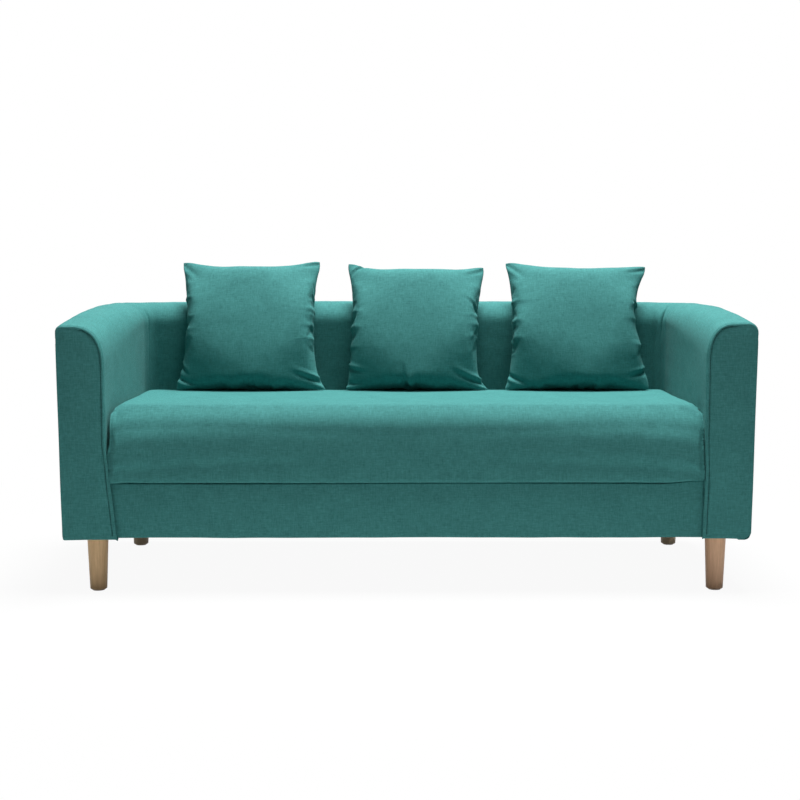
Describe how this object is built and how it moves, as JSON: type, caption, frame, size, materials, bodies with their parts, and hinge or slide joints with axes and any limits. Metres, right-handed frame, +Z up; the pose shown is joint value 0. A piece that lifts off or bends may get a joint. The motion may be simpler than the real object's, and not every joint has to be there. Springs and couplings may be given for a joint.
{
  "type": "sofa",
  "caption": "Upholstered sofa with arms rising into the back, a loose bench cushion, loose square pillows and round tapered wooden legs.",
  "frame": {"origin": "centre of the footprint on the floor, under the glides", "axes": "+X to the right as seen from the front, +Y to the back, +Z up"},
  "size_m": [1.7992, 0.72, 0.8672],
  "materials": {
    "teal_fabric": "flat-woven linen-look upholstery cloth, teal",
    "leg_wood": "turned light hardwood, satin lacquer",
    "frame_timber": "planed softwood",
    "plywood": "birch plywood",
    "hardboard": "hardboard",
    "foam": "upholstery foam",
    "fibre": "polyester fibre",
    "webbing": "elastic webbing",
    "deck_cloth": "plain seat deck cloth",
    "dust_cloth": "black non-woven dust cover",
    "zinc_steel": "zinc-plated steel",
    "zip_tape": "woven zip tape with coil",
    "zip_metal": "painted zip slider",
    "glide_plastic": "pale plastic glide"
  },
  "bodies": {
    "sofa": {"back_foam": "foam", "back_posts": "frame_timber", "back_top_rail": "frame_timber", "cross_webbing": "webbing", "dust_cover": "dust_cloth", "frame_screws": "zinc_steel", "front_border_cover": "teal_fabric", "front_border_foam": "foam", "front_left_leg": "leg_wood", "front_rail": "frame_timber", "front_right_leg": "leg_wood", "inside_back_cover": "teal_fabric", "inside_back_panel": "hardboard", "left_arm_foam": "foam", "left_arm_front_board": "plywood", "left_arm_front_cover": "teal_fabric", "left_arm_middle_post": "frame_timber", "left_arm_top_rail": "frame_timber", "left_inside_arm_cover": "teal_fabric", "left_inside_arm_panel": "hardboard", "left_outside_arm_cover": "teal_fabric", "left_outside_arm_panel": "hardboard", "left_rear_post": "frame_timber", "left_side_rail": "frame_timber", "leg_blocks": "frame_timber", "leg_glides": "glide_plastic", "leg_hanger_bolts": "zinc_steel", "leg_tee_nuts": "zinc_steel", "outside_back_cover": "teal_fabric", "outside_back_panel": "hardboard", "rear_left_leg": "leg_wood", "rear_rail": "frame_timber", "rear_right_leg": "leg_wood", "right_arm_foam": "foam", "right_arm_front_board": "plywood", "right_arm_front_cover": "teal_fabric", "right_arm_middle_post": "frame_timber", "right_arm_top_rail": "frame_timber", "right_inside_arm_cover": "teal_fabric", "right_inside_arm_panel": "hardboard", "right_outside_arm_cover": "teal_fabric", "right_outside_arm_panel": "hardboard", "right_rear_post": "frame_timber", "right_side_rail": "frame_timber", "seat_cross_bearers": "frame_timber", "seat_deck_cloth": "deck_cloth", "seat_deck_pad": "foam", "seat_webbing": "webbing"},
    "seat_cushion": {"seat_cushion_cover": "teal_fabric", "seat_cushion_wrap": "fibre", "seat_cushion_foam": "foam", "seat_cushion_zip": "zip_tape"},
    "zip_slider": {"seat_cushion_zip_slider": "zip_metal"},
    "left_pillow": {"left_pillow_cover": "teal_fabric", "left_pillow_filling": "fibre"},
    "middle_pillow": {"middle_pillow_cover": "teal_fabric", "middle_pillow_filling": "fibre"},
    "right_pillow": {"right_pillow_cover": "teal_fabric", "right_pillow_filling": "fibre"}
  },
  "joints": [
    {"name": "seat_cushion_lift", "type": "slide", "parent": "sofa", "child": "seat_cushion", "axis": [0, 0, 1], "range_m": [0, 0.46]},
    {"name": "zip_slide", "type": "slide", "parent": "seat_cushion", "child": "zip_slider", "axis": [-1, 0, 0], "range_m": [0, 1.17]},
    {"name": "left_pillow_lift", "type": "slide", "parent": "seat_cushion", "child": "left_pillow", "axis": [0, 0, 1], "range_m": [0, 0.3]},
    {"name": "middle_pillow_lift", "type": "slide", "parent": "seat_cushion", "child": "middle_pillow", "axis": [0, 0, 1], "range_m": [0, 0.3]},
    {"name": "right_pillow_lift", "type": "slide", "parent": "seat_cushion", "child": "right_pillow", "axis": [0, 0, 1], "range_m": [0, 0.3]}
  ]
}
